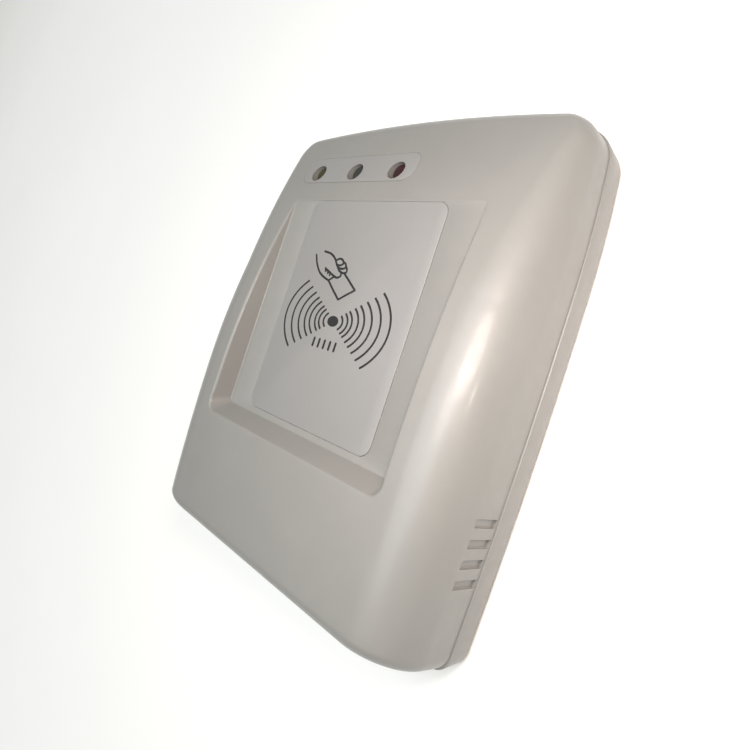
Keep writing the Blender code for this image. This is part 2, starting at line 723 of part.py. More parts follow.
def make_case_screws(steel):
    """Screws driven up from below: the head is at the bottom."""
    low = BASE_Z + COUNTERBORE_DEPTH - GAP - CASE_HEAD_HEIGHT
    neck = low + CASE_HEAD_HEIGHT
    profile = ((CASE_HEAD_RADIUS * 0.8, low), (CASE_HEAD_RADIUS, low + CASE_HEAD_HEIGHT / 3),
               (CASE_HEAD_RADIUS, neck), (CASE_SCREW_RADIUS, neck),
               (CASE_SCREW_RADIUS, CASE_SCREW_TIP - CASE_SCREW_RADIUS),
               (CASE_SCREW_RADIUS / 3, CASE_SCREW_TIP))
    for i, (x, y) in enumerate(corners(BOSS_X, BOSS_Y)):
        form = bmesh.new()
        add_turned(form, x, y, profile, steps=20)
        screw = finish_object("case_screw_%d" % (i + 1), form, steel)
        recess = cross_cut("case_drive_%d" % (i + 1), x, y, low - WALL, low + CASE_DRIVE_DEPTH,
                           CASE_DRIVE_REACH, CASE_DRIVE_WIDTH)
        combine(screw, recess, "DIFFERENCE")


def make_pcb_screws(steel):
    """Small screws driven down through the board into its posts."""
    low = BASE_Z + WALL + 2 * GAP
    seat = PCB_TOP + GAP
    high = seat + BOARD_HEAD_HEIGHT
    profile = ((BOARD_SCREW_RADIUS / 3, low), (BOARD_SCREW_RADIUS, low + BOARD_SCREW_RADIUS),
               (BOARD_SCREW_RADIUS, seat), (BOARD_HEAD_RADIUS, seat),
               (BOARD_HEAD_RADIUS, seat + BOARD_HEAD_RIM), (BOARD_HEAD_RADIUS * 0.7, high))
    for i, (x, y) in enumerate(corners(POST_X, POST_Y)):
        form = bmesh.new()
        add_turned(form, x, y, profile, steps=20)
        screw = finish_object("pcb_screw_%d" % (i + 1), form, steel)
        recess = cross_cut("pcb_drive_%d" % (i + 1), x, y, high - BOARD_DRIVE_DEPTH, high + WALL,
                           BOARD_DRIVE_REACH, BOARD_DRIVE_WIDTH)
        combine(screw, recess, "DIFFERENCE")


def make_feet(rubber):
    top = BASE_Z + FOOT_SEAT_DEPTH - GAP
    profile = ((FOOT_RADIUS - FOOT_EDGE, 0.0), (FOOT_RADIUS, FOOT_EDGE_HEIGHT), (FOOT_RADIUS, top))
    for i, (x, y) in enumerate(corners(FOOT_X, FOOT_Y)):
        form = bmesh.new()
        add_turned(form, x, y, profile)
        finish_object("foot_%d" % (i + 1), form, rubber)


def make_rating_label(film):
    form = bmesh.new()
    outline = rounded_outline(-PLATE_HALF_WIDTH, PLATE_HALF_WIDTH, -PLATE_HALF_LENGTH, PLATE_HALF_LENGTH,
                              PLATE_CORNER)
    low = BASE_Z + PLATE_LIFT
    add_prism(form, outline, low, low + PLATE_THICKNESS)
    finish_object("rating_label", form, film)


def main():
    clear_scene()
    case_plastic = material("case_plastic", (0.62, 0.58, 0.52), 0.42)
    print_film = material("print_film", (0.64, 0.61, 0.55), 0.38)
    copper = material("enamelled_copper", (0.55, 0.22, 0.08), 0.35, 1.0)
    nylon = material("white_nylon", (0.75, 0.73, 0.68), 0.5)
    laminate = material("green_laminate", (0.03, 0.16, 0.07), 0.35)
    epoxy = material("black_epoxy", (0.02, 0.02, 0.022), 0.5)
    steel = material("plated_steel", (0.62, 0.62, 0.6), 0.3, 1.0)
    rubber = material("black_rubber", (0.02, 0.02, 0.02), 0.85)
    lenses = (
        ("led_green", material("green_lens", (0.25, 0.27, 0.05), 0.2)),
        ("led_clear", material("clear_lens", (0.4, 0.42, 0.42), 0.2)),
        ("led_red", material("red_lens", (0.3, 0.02, 0.02), 0.2)),
    )
    make_top_cover(case_plastic)
    make_bottom_cover(case_plastic)
    make_labels(print_film)
    make_leds(lenses)
    make_led_spacers(nylon)
    make_board(laminate)
    make_antenna(copper)
    make_antenna_header(nylon)
    make_package("microcontroller", MICROCONTROLLER, epoxy)
    make_package("reader_chip", READER_CHIP, epoxy)
    make_package("voltage_regulator", REGULATOR, epoxy)
    make_package("crystal", CRYSTAL, steel)
    make_capacitors(epoxy)
    make_buzzer(epoxy)
    make_usb(steel, nylon)
    make_case_screws(steel)
    make_pcb_screws(steel)
    make_feet(rubber)
    make_rating_label(print_film)


main()
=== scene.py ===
"""Looks of the desktop card reader: shells, film labels and their print, finishes, floor, light and camera.

Lengths are in metres and angles in degrees where nothing else is said, and +Z is up. The indicators are at -Y
and the cable inlet is at +Y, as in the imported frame.
"""

import math

import bmesh
import bpy
import numpy as np
from mathutils import Matrix, Vector


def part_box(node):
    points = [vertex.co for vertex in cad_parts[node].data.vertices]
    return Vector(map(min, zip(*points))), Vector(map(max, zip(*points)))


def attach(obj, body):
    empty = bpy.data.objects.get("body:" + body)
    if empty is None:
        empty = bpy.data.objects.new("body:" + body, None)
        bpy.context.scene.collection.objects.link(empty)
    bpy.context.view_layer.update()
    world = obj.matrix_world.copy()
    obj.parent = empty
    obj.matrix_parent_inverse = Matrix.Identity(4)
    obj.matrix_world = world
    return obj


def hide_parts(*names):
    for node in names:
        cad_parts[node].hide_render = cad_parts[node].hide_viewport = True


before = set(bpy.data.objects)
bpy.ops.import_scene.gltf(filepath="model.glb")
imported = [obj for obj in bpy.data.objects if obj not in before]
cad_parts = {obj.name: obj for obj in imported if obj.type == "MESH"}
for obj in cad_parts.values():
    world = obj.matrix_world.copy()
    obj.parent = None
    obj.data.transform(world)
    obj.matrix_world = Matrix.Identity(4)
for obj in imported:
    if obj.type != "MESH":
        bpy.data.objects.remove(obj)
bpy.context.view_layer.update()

MM = 0.001
CORNERS = range(1, 5)

# Case, sized from the frame
_, COVER_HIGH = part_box("top_cover")
BASE_LOW, BASE_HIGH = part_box("bottom_cover")
HALF_WIDTH = BASE_HIGH.x
HALF_LENGTH = BASE_HIGH.y
TOP_Z = COVER_HIGH.z
BASE_Z = BASE_LOW.z
WALL = 2.0 * MM
GAP = 0.3 * MM
LIP_HEIGHT = 1.6 * MM
SEAM_Z = BASE_HIGH.z - LIP_HEIGHT
COVER_Z = SEAM_Z + 0.02 * MM
FRONT_CORNER = 7.5 * MM
REAR_CORNER = 3.5 * MM
LEAST_CORNER = 0.3 * MM
EDGE_RADIUS = 3.2 * MM
SIDE_BOW = 1.2 * MM
FRONT_BOW = 3.3 * MM
FRONT_BOW_START = -20.0 * MM
FRONT_NARROWING = 1.4 * MM
REAR_SAG = 0.05 * MM
TAPER = 1.2
LEDGE_SHARE = 0.006
LIP_INSET = WALL + GAP + (LEDGE_SHARE + TAPER * LIP_HEIGHT) * HALF_LENGTH
LIP_WALL = 1.0 * MM
SHARP_ANGLE = math.radians(32.0)
PLACING_ROUNDS = 8

# Arched top
ARCH_Y = 15.0 * MM
ARCH_FRONT_RADIUS = 205.0 * MM
ARCH_REAR_RADIUS = 680.0 * MM
SHOULDER_RADIUS = 10.4 * MM
SHOULDER_SHARE = 0.8
TOP_STEPS = 14
SHOULDER_STEPS = 18
COVER_FOOT_ROUND = 0.12 * MM
LEAST_WALL = 0.02 * MM

# Card tray
TRAY_Z = TOP_Z - 5.0 * MM
TRAY_HALF_WIDTH = 28.0 * MM
TRAY_REAR_Y = 23.2 * MM
TRAY_SIDE_SLOPE = 0.16
TRAY_REAR_SLOPE = 0.62
TRAY_FRONT_CORNER = 0.8 * MM
TRAY_CORNER = 1.5 * MM
TRAY_FOOT_ROUND = 0.35 * MM
TRAY_EDGE_ROUND = 0.7 * MM
TRAY_ROUND_STEPS = 6
TRAY_ROUND_ROOM = 0.45
TRAY_LOW_WALL = 0.5 * MM
TRAY_LEAST_STEP = 0.05 * MM
TRAY_LEAST_RISE = 1e-9
TUB_FRONT_Y = -31.0 * MM
TUB_RIM = 1.8 * MM
TUB_DEPTH = 2.3 * MM
TUB_ROUND_SHARE = 0.8

# Labels and the seats they lie in
LABEL_PROUD = 0.18 * MM
FACE_CORNER = 2.6 * MM
FILM_EDGE = 0.14 * MM
GROOVE = 0.05 * MM
SEAT_DEPTH = 0.2 * MM
SEAT_EDGE = 0.05 * MM
FILM_DEPTH = 0.12 * MM
PANEL_CORNER = 3.2 * MM
PANEL_PROUD = 0.03 * MM
PANEL_EDGE = 0.08 * MM
PANEL_SHARES = (0.8, 0.6, 0.4, 0.2)
PANEL_CUTTER_FLARE = 0.8 * MM

# Indicators
LED_HOLE_RADIUS = 2.25 * MM
LED_TIP_DEPTH = 0.8 * MM
LED_RADIUS = 1.95 * MM
LED_DOME = 0.6 * MM
LED_DOME_STEPS = 12
LED_DOME_ANGLE = 88.0
LED_FLANGE_RADIUS = 2.35 * MM
LED_FLANGE_HEIGHT = 1.0 * MM
LED_FLANGE_EDGE = 0.1 * MM
SLEEVE_RADIUS = 3.2 * MM
SLEEVE_LENGTH = 4.0 * MM

# Blind moulded slots
SLOT_FIRST_Y = 24.5 * MM
SLOT_PITCH = 3.72 * MM
SLOT_COUNT = 4
SLOT_WIDTH = 1.6 * MM
SLOT_DEPTH = 0.6 * MM
SLOT_EDGE = 0.08 * MM
SLOT_FOOT_Z = COVER_Z + 0.5 * MM
SLOT_TOP_Z = SEAM_Z + 7.4 * MM

# Cable inlet
INLET_MARGIN = 0.5 * MM

# Lower shell: its foot, and the recesses for the feet, the case screws and the rating plate
BASE_FOOT_ROUND = 0.8 * MM
BASE_FOOT_STEPS = 5
BASE_DRAFT = 0.1 * MM
BASE_EDGE = 0.18 * MM
FOOT_SEAT_DEPTH = 0.6 * MM
FOOT_SEAT_FLARE = 0.15 * MM
FOOT_SEAT_EDGE = 0.12 * MM
SCREW_HEAD_RADIUS = 2.7 * MM
SCREW_HEAD_DEPTH = 1.1 * MM
SCREW_HEAD_FLARE = 0.15 * MM
SCREW_HOLE_RADIUS = 1.45 * MM
CUTTER_FLARE = 0.5 * MM
PLATE_CORNER = 1.8 * MM
PLATE_DEPTH = 0.7 * MM
POST_RADIUS = 2.8 * MM
POST_HOLE_RADIUS = 1.3 * MM

# Rubber foot from its dished middle outward: share of the radius, and height
FOOT_PROFILE = ((0.15, 0.12 * MM), (0.45, 0.108 * MM), (0.62, 0.024 * MM), (0.7, 0.0), (0.9, 0.0),
                (0.955, 0.06 * MM), (0.99, 0.2 * MM), (1.0, 0.4 * MM))

# Points around every closed loop: half an end, a corner, a side
END_STEPS = 46
CORNER_STEPS = 18
SIDE_STEPS = 120
TURNED_STEPS = 48


# ---------------------------------------------------------------- surface of the case

def arch_height(y):
    radius = np.where(y < ARCH_Y, ARCH_FRONT_RADIUS, ARCH_REAR_RADIUS)
    return TOP_Z - (radius - np.sqrt(radius * radius - (y - ARCH_Y) ** 2))


def arc_drop(distance, radius):
    """How far a round edge has fallen at a distance into it."""
    inside = np.clip(distance, 0.0, radius)
    return radius - np.sqrt(np.maximum(radius * radius - inside * inside, 0.0))


def shoulder_radius(y):
    return np.minimum(SHOULDER_RADIUS, SHOULDER_SHARE * (arch_height(y) - EDGE_RADIUS - SEAM_Z))


def share_ahead(y):
    """How far a place is into the front of the case, from 0 where the front starts to 1 at its end."""
    return np.maximum(0.0, (FRONT_BOW_START - y) / (FRONT_BOW_START + HALF_LENGTH))


def side_half_width(y, inset):
    return HALF_WIDTH - inset - SIDE_BOW * (y / HALF_LENGTH) ** 2 - FRONT_NARROWING * share_ahead(y) ** 2


def plan_half_width(y, inset):
    radius = np.maximum(np.where(y < 0.0, FRONT_CORNER, REAR_CORNER) - inset, LEAST_CORNER)
    return side_half_width(y, inset) - arc_drop(np.abs(y) - (HALF_LENGTH - inset - radius), radius)


def skin_height(x, y, inset):
    """Height of the cover's outside, or of its inside when inset, over a point of its plan."""
    fillet = EDGE_RADIUS - inset
    radius = shoulder_radius(y) - inset
    fall = arc_drop(np.abs(y) - (HALF_LENGTH - inset - fillet), fillet)
    fall = fall + arc_drop(np.abs(x) - (plan_half_width(y, inset) - radius), radius)
    return arch_height(y) - inset - fall


def place_on_case(x, y, z):
    """Give plain points the case's bowed front and its moulding draft, and keep them under the arch."""
    shrink = 1.0 - TAPER * np.maximum(z - SEAM_Z, 0.0) - LEDGE_SHARE
    placed_y = (y + FRONT_BOW * (x / HALF_WIDTH) ** 2 * share_ahead(y) ** 2) * shrink
    rise = (arch_height(placed_y) - SEAM_Z) / (arch_height(y) - SEAM_Z)
    return np.stack([x * shrink, placed_y, SEAM_Z + (z - SEAM_Z) * rise], axis=1)


def plain_point(points):
    """Plain plan points that place_on_case carries to the given points of the arched top."""
    x = points[:, 0].copy()
    y = points[:, 1].copy()
    for _ in range(PLACING_ROUNDS):
        placed = place_on_case(x, y, arch_height(y))
        x += points[:, 0] - placed[:, 0]
        y += points[:, 1] - placed[:, 1]
    return np.stack([x, y], axis=1)


# ---------------------------------------------------------------- loops and meshes

def closed_plan(side, front, rear, front_corner, rear_corner):
    """Counter-clockwise loop of plan points, alike on both sides. side(y) gives half the width."""
    right = [((side(front) - front_corner) * i / END_STEPS, front) for i in range(END_STEPS)]
    for i in range(CORNER_STEPS):
        angle = math.radians(90.0 - 90.0 * i / CORNER_STEPS)
        y = front + front_corner - front_corner * math.sin(angle)
        right.append((side(y) - front_corner + front_corner * math.cos(angle), y))
    span = rear - rear_corner - front - front_corner
    for i in range(SIDE_STEPS):
        y = front + front_corner + span * i / SIDE_STEPS
        right.append((side(y), y))
    for i in range(CORNER_STEPS):
        angle = math.radians(90.0 * i / CORNER_STEPS)
        y = rear - rear_corner + rear_corner * math.sin(angle)
        right.append((side(y) - rear_corner + rear_corner * math.cos(angle), y))
    right += [((side(rear) - rear_corner) * (1.0 - i / END_STEPS), rear) for i in range(END_STEPS + 1)]
    return np.array(right + [(-x, y) for x, y in reversed(right[1:-1])], float)


def box_plan(half, front, rear, front_corner, rear_corner):
    return closed_plan(lambda y: half, front, rear, front_corner, rear_corner)


def case_plan(inset):
    corners = [max(radius - inset, LEAST_CORNER) for radius in (FRONT_CORNER, REAR_CORNER)]
    reach = HALF_LENGTH - inset
    return closed_plan(lambda y: side_half_width(y, inset), -reach, reach, *corners)


def outward(loop):
    """Unit normals of a counter-clockwise loop, in plan."""
    along = np.roll(loop, -1, axis=0) - np.roll(loop, 1, axis=0)
    normal = np.stack([along[:, 1], -along[:, 0]], axis=1)
    return normal / np.linalg.norm(normal, axis=1)[:, None]


def at_height(loop, z):
    return np.column_stack([loop, np.broadcast_to(z, len(loop))])


def smooth(mesh):
    mesh.shade_smooth()
    mesh.set_sharp_from_angle(angle=SHARP_ANGLE)


def show(name, mesh, finish):
    made = bpy.data.objects.new(name, mesh)
    bpy.context.scene.collection.objects.link(made)
    mesh.materials.append(finish)
    smooth(mesh)
    return made


def face_outward(mesh):
    """Turn every face of a closed mesh outward."""
    build = bmesh.new()
    build.from_mesh(mesh)
    bmesh.ops.recalc_face_normals(build, faces=build.faces)
    build.to_mesh(mesh)
    build.free()


def skinned(name, rings):
    """Closed mesh through loops of equal length, with both ends capped."""
    count = len(rings[0])
    points = np.concatenate(rings)
    faces = []
    for low in range(0, len(points) - count, count):
        high = low + count
        for i in range(count):
            j = (i + 1) % count
            faces.append((low + i, low + j, high + j, high + i))
    faces.append(tuple(reversed(range(count))))
    faces.append(tuple(range(len(points) - count, len(points))))
    mesh = bpy.data.meshes.new(name)
    mesh.from_pydata([tuple(p) for p in points], [], faces)
    face_outward(mesh)
    return mesh


def joined(name, meshes):
    """One mesh that holds several separate closed bodies."""
    build = bmesh.new()
    for mesh in meshes:
        build.from_mesh(mesh)
        bpy.data.meshes.remove(mesh)
    bmesh.ops.recalc_face_normals(build, faces=build.faces)
    mesh = bpy.data.meshes.new(name)
    build.to_mesh(mesh)
    build.free()
    return mesh


def carve(target, cutters, operation="DIFFERENCE"):
    """Apply one exact Boolean between a piece and a set of closed guide bodies."""
    guide = bpy.data.objects.new("guide", joined("guide", cutters))
    bpy.context.scene.collection.objects.link(guide)
    step = target.modifiers.new("carve", "BOOLEAN")
    step.operation = operation
    step.object = guide
    step.solver = "EXACT"
    bpy.context.view_layer.update()
    shaped = bpy.data.meshes.new_from_object(target.evaluated_get(bpy.context.evaluated_depsgraph_get()))
    target.modifiers.clear()
    plain = target.data
    target.data = shaped
    bpy.data.meshes.remove(plain)
    guide_mesh = guide.data
    bpy.data.objects.remove(guide, do_unlink=True)
    bpy.data.meshes.remove(guide_mesh)


def turned(centre, profile):
    """Closed body turned about a vertical axis from (radius, z) points, listed bottom to top."""
    angles = [2.0 * math.pi * i / TURNED_STEPS for i in range(TURNED_STEPS)]
    circle = np.array([(math.cos(a), math.sin(a)) for a in angles])
    return skinned("turned", [at_height(circle * radius + np.array(centre), z) for radius, z in profile])


def prism(outline, z_low, z_high):
    loop = np.array(outline, float)
    return skinned("prism", [at_height(loop, z_low), at_height(loop, z_high)])


def box_body(x_low, x_high, y_low, y_high, z_low, z_high):
    return prism([(x_low, y_low), (x_high, y_low), (x_high, y_high), (x_low, y_high)], z_low, z_high)


def node_centre(name):
    low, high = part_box(name)
    return (low + high) / 2.0


# ---------------------------------------------------------------- finishes

def new_material(name):
    made = bpy.data.materials.new(name)
    made.use_nodes = True
    tree = made.node_tree
    return made, tree, tree.nodes["Principled BSDF"]


def noise(tree, scale, detail=2.0, roughness=0.5, distortion=0.0):
    place = tree.nodes.get("place") or tree.nodes.new("ShaderNodeTexCoord")
    place.name = "place"
    made = tree.nodes.new("ShaderNodeTexNoise")
    made.inputs["Scale"].default_value = scale
    made.inputs["Detail"].default_value = detail
    made.inputs["Roughness"].default_value = roughness
    made.inputs["Distortion"].default_value = distortion
    tree.links.new(place.outputs["Object"], made.inputs["Vector"])
    return made.outputs["Fac"]


def ramp(tree, value, stops):
    made = tree.nodes.new("ShaderNodeValToRGB")
    while len(made.color_ramp.elements) < len(stops):
        made.color_ramp.elements.new(0.5)
    for element, (place, colour) in zip(made.color_ramp.elements, stops):
        element.position = place
        element.color = (*colour, 1.0)
    tree.links.new(value, made.inputs["Fac"])
    return made.outputs["Color"]


def spread(tree, value, low, high):
    made = tree.nodes.new("ShaderNodeMapRange")
    made.inputs["To Min"].default_value = low
    made.inputs["To Max"].default_value = high
    made.inputs["From Min"].default_value = 0.3
    made.inputs["From Max"].default_value = 0.7
    tree.links.new(value, made.inputs["Value"])
    return made.outputs["Result"]


def bump(tree, shader, layers):
    """Stack bump layers, each a height, a distance in metres and a strength."""
    normal = None
    for height, distance, strength in layers:
        made = tree.nodes.new("ShaderNodeBump")
        made.inputs["Distance"].default_value = distance
        made.inputs["Strength"].default_value = strength
        tree.links.new(height, made.inputs["Height"])
        if normal is not None:
            tree.links.new(normal, made.inputs["Normal"])
        normal = made.outputs["Normal"]
    tree.links.new(normal, shader.inputs["Normal"])


def tinted(colour, share):
    return tuple(min(1.0, part * share) for part in colour)


def grained(name, colour, roughness, grain, depth, metallic=0.0, variation=0.03, mottle=90.0):
    """Finish with a fine grain of a size and a depth in metres, and a faint uneven tone."""
    made, tree, shader = new_material(name)
    tone = noise(tree, mottle, detail=4.0, roughness=0.6)
    stops = ((0.3, tinted(colour, 1.0 - variation)), (0.7, tinted(colour, 1.0 + variation)))
    tree.links.new(ramp(tree, tone, stops), shader.inputs["Base Color"])
    sheen = noise(tree, 1.0 / (6.0 * grain), detail=3.0)
    tree.links.new(spread(tree, sheen, roughness - 0.04, roughness + 0.05), shader.inputs["Roughness"])
    bump(tree, shader, ((noise(tree, 1.0 / grain, detail=3.0, roughness=0.6), depth, 1.0),))
    shader.inputs["Metallic"].default_value = metallic
    return made


def case_plastic():
    """Satin moulded plastic: spark-eroded grain, faint flow in the moulding, slightly warm white."""
    made, tree, shader = new_material("case_plastic")
    tone = noise(tree, 45.0, detail=5.0, roughness=0.62, distortion=0.4)
    stops = ((0.25, (0.247, 0.242, 0.228)), (0.5, (0.257, 0.252, 0.237)), (0.75, (0.267, 0.262, 0.246)))
    tree.links.new(ramp(tree, tone, stops), shader.inputs["Base Color"])
    patches = noise(tree, 420.0, detail=3.0)
    tree.links.new(spread(tree, patches, 0.38, 0.47), shader.inputs["Roughness"])
    grain = noise(tree, 3600.0, detail=4.0, roughness=0.7)
    flow = noise(tree, 300.0, detail=2.0)
    bump(tree, shader, ((flow, 0.02 * MM, 0.35), (grain, 0.016 * MM, 0.8)))
    shader.inputs["Coat Weight"].default_value = 0.22
    shader.inputs["Coat Roughness"].default_value = 0.17
    shader.inputs["Subsurface Weight"].default_value = 0.06
    shader.inputs["Subsurface Radius"].default_value = (0.0012, 0.0009, 0.0006)
    shader.inputs["Subsurface Scale"].default_value = 1.0
    return made


def lens_finish(name, colour):
    made, tree, shader = new_material(name)
    body = noise(tree, 900.0, detail=2.0)
    stops = ((0.3, tinted(colour, 0.8)), (0.7, tinted(colour, 1.15)))
    tree.links.new(ramp(tree, body, stops), shader.inputs["Base Color"])
    tree.links.new(spread(tree, noise(tree, 2500.0), 0.12, 0.2), shader.inputs["Roughness"])
    bump(tree, shader, ((noise(tree, 1200.0), 0.004 * MM, 0.4),))
    shader.inputs["Coat Weight"].default_value = 0.5
    shader.inputs["Coat Roughness"].default_value = 0.08
    return made


# ---------------------------------------------------------------- covers

def tray_rings():
    """Loops up the tray's wall: its round foot, the wall and its round upper edge, out to the arched top."""
    front = ARCH_Y - math.sqrt(ARCH_FRONT_RADIUS ** 2 - (ARCH_FRONT_RADIUS - (TOP_Z - TRAY_Z)) ** 2)
    base = box_plan(TRAY_HALF_WIDTH, front, TRAY_REAR_Y, TRAY_FRONT_CORNER, TRAY_CORNER)
    normal = outward(base)
    rise = np.maximum(arch_height(base[:, 1]) - TRAY_Z, 0.0)
    rearward = np.maximum(normal[:, 1], 0.0) ** 2
    slope = TRAY_SIDE_SLOPE + (TRAY_REAR_SLOPE - TRAY_SIDE_SLOPE) * rearward
    angle = np.arctan2(1.0, slope)
    reach = np.tan(angle / 2.0)
    room = TRAY_ROUND_ROOM * rise / np.sin(angle) / reach
    foot = np.minimum(TRAY_FOOT_ROUND, room)
    edge = np.minimum(TRAY_EDGE_ROUND, room)
    steps = TRAY_ROUND_STEPS
    profile = []
    for i in range(steps + 1):
        turn = angle * i / steps
        profile.append((foot * (np.sin(turn) - reach), foot * (1.0 - np.cos(turn))))
    for i in range(steps + 1):
        turn = angle * (1.0 - i / steps)
        profile.append((slope * rise + edge * (reach - np.sin(turn)), rise - edge * (1.0 - np.cos(turn))))
    walled = np.clip(rise / TRAY_LOW_WALL, 0.0, 1.0)
    rings = []
    for k, (out, height) in enumerate(profile):
        fanned = (k - steps - 0.5) * TRAY_LEAST_STEP
        out = walled * out + (1.0 - walled) * fanned
        plan = base + normal * out[:, None]
        top = arch_height(plan[:, 1])
        share = height / np.maximum(rise, TRAY_LEAST_RISE)
        tall = TRAY_Z + height + (top - arch_height(base[:, 1])) * share
        flat = TRAY_Z if fanned < 0.0 else top
        rings.append(at_height(plan, walled * tall + (1.0 - walled) * flat))
    return rings


def label_seat_rings():
    """Loops from the flat of the seat under the face label up to the tray's floor."""
    levels = ((0.0, -SEAT_DEPTH), (0.0, -SEAT_EDGE), (0.3 * SEAT_EDGE, -0.3 * SEAT_EDGE), (SEAT_EDGE, 0.0))
    return [face_label_loop(GROOVE + grow, TRAY_Z + z) for grow, z in levels]


def face_label_loop(grow, z):
    """Outline of the face label, grown outward, at a height."""
    low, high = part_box("face_label")
    corner = FACE_CORNER + grow
    return at_height(box_plan(high.x + grow, low.y - grow, high.y + grow, corner, corner), z)


def skin_ring(plan, inset):
    """Loop of the cover's outside, or of its inside when inset, over plain plan points."""
    x, y = plan[:, 0], plan[:, 1]
    return place_on_case(x, y, skin_height(x, y, inset))


def outer_rings(tray_edge):
    """Loops from the tray's upper edge over the arched top, round the shoulders and down to the foot."""
    inner = plain_point(tray_edge)
    outer = case_plan(0.0)
    normal = outward(outer)
    shoulder = shoulder_radius(outer[:, 1])
    round_width = EDGE_RADIUS + (shoulder - EDGE_RADIUS) * normal[:, 0] ** 2
    share_of_round = round_width / np.linalg.norm(inner - outer, axis=1)
    rings = []
    for i in range(1, TOP_STEPS + 1):
        share = share_of_round + (1.0 - share_of_round) * (1.0 - i / TOP_STEPS)
        rings.append(skin_ring(outer + (inner - outer) * share[:, None], 0.0))
    for i in range(1, SHOULDER_STEPS + 1):
        angle = math.radians(90.0 * (1.0 - i / SHOULDER_STEPS))
        share = share_of_round * (1.0 - math.cos(angle))
        rings.append(skin_ring(outer + (inner - outer) * share[:, None], 0.0))
    wall_top = skin_height(outer[:, 0], outer[:, 1], 0.0)
    wall_foot = np.minimum(COVER_Z + COVER_FOOT_ROUND, wall_top - LEAST_WALL)
    for share in (0.25, 0.5, 0.75, 1.0):
        rings.append(place_on_case(outer[:, 0], outer[:, 1], wall_top + (wall_foot - wall_top) * share))
    for turn in (30.0, 60.0, 90.0):
        angle = math.radians(turn)
        plan = outer - normal * COVER_FOOT_ROUND * (1.0 - math.cos(angle))
        z = COVER_Z + (wall_foot - COVER_Z) * (1.0 - math.sin(angle))
        rings.append(place_on_case(plan[:, 0], plan[:, 1], z))
    return rings


def inner_rings():
    """Loops from the inside of the foot up the wall, under the top and round the tub that holds the tray."""
    outer = case_plan(WALL)
    tub_side = TRAY_HALF_WIDTH + TRAY_SIDE_SLOPE * (TOP_Z - TRAY_Z) + TUB_RIM
    tub_rear = TRAY_REAR_Y + TRAY_REAR_SLOPE * (TOP_Z - TRAY_Z) + TUB_RIM
    tub = box_plan(tub_side, TUB_FRONT_Y, tub_rear, TRAY_CORNER, TRAY_CORNER + TUB_RIM)
    wall_top = skin_height(outer[:, 0], outer[:, 1], WALL)
    rings = []
    for share in (0.0, 0.5, 1.0):
        rings.append(place_on_case(outer[:, 0], outer[:, 1], COVER_Z + (wall_top - COVER_Z) * share))
    across = np.linalg.norm(tub - outer, axis=1)
    round_share = np.minimum(TUB_ROUND_SHARE, (SHOULDER_RADIUS - WALL) / across)
    for turn in (25.0, 45.0, 65.0, 90.0):
        share = round_share * (1.0 - math.cos(math.radians(turn)))
        rings.append(skin_ring(outer + (tub - outer) * share[:, None], WALL))
    for part in (0.5, 1.0):
        share = round_share + (1.0 - round_share) * part
        rings.append(skin_ring(outer + (tub - outer) * share[:, None], WALL))
    rings.append(at_height(rings[-1][:, :2], TRAY_Z - TUB_DEPTH))
    return rings


def led_centres():
    return [node_centre(name) for name in ("led_green", "led_clear", "led_red")]


def hole_cutter(centre, low):
    """Cutter for an indicator's round hole, up through the sloping top."""
    return turned((centre.x, centre.y), ((LED_HOLE_RADIUS, low), (LED_HOLE_RADIUS, TOP_Z + WALL)))


def arched_plan_body(x_low, x_high, y_low, y_high, radius, levels):
    """Closed body of a rounded rectangle that follows the arched top. levels holds (grow, offset) pairs."""
    centre = np.array(((x_low + x_high) / 2.0, (y_low + y_high) / 2.0))

    def ring(grow, offset, share):
        corner = radius + grow
        loop = box_plan((x_high - x_low) / 2.0 + grow, y_low - grow, y_high + grow, corner, corner)
        loop = loop + np.array((centre[0], 0.0))
        loop = centre + (loop - centre) * share
        return at_height(loop, arch_height(loop[:, 1]) + offset)

    rings = [ring(*levels[0], share) for share in reversed(PANEL_SHARES)]
    rings += [ring(grow, offset, 1.0) for grow, offset in levels]
    rings += [ring(*levels[-1], share) for share in PANEL_SHARES]
    return skinned("arched", rings)


def panel_edges():
    """Plan edges of the indicators' label."""
    low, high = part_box("led_label")
    return low.x, high.x, low.y, high.y


def panel_seat():
    """Cutter for the shallow seat of the indicators' label."""
    levels = ((GROOVE, -SEAT_DEPTH), (GROOVE, -SEAT_EDGE), (GROOVE + 0.3 * SEAT_EDGE, -0.3 * SEAT_EDGE),
              (GROOVE + SEAT_EDGE, 0.0), (GROOVE + PANEL_CUTTER_FLARE, WALL))
    return arched_plan_body(*panel_edges(), PANEL_CORNER, levels)


def slot_cutters():
    """Cutters for the blind slots. Their mouths flare a little, so that the rims are soft."""
    levels = ((-SLOT_DEPTH, -SLOT_EDGE), (SLOT_EDGE - SLOT_DEPTH, 0.0), (-SLOT_EDGE, 0.0),
              (3.0 * SLOT_EDGE, 4.0 * SLOT_EDGE))
    made = []
    for i in range(SLOT_COUNT):
        y = SLOT_FIRST_Y + SLOT_PITCH * i
        wall = float(side_half_width(y, 0.0))
        for side in (-1.0, 1.0):
            rings = []
            for out, grow in levels:
                half = side * (SLOT_WIDTH / 2.0 + grow)
                foot = SLOT_FOOT_Z - grow
                top = SLOT_TOP_Z + grow
                ring = []
                for across, z in ((-half, foot), (half, foot), (half, top), (-half, top)):
                    x = wall * (1.0 - TAPER * (z - SEAM_Z) - LEDGE_SHARE) + out
                    ring.append((side * x, y + across, z))
                rings.append(np.array(ring))
            made.append(skinned("slot", rings))
    return made


def inlet_cutter(z_low, z_high):
    """Cutter for the opening around the cable socket."""
    low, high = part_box("usb_shell")
    return box_body(low.x - INLET_MARGIN, high.x + INLET_MARGIN, HALF_LENGTH - 4 * WALL, HALF_LENGTH + WALL,
                    z_low, z_high)


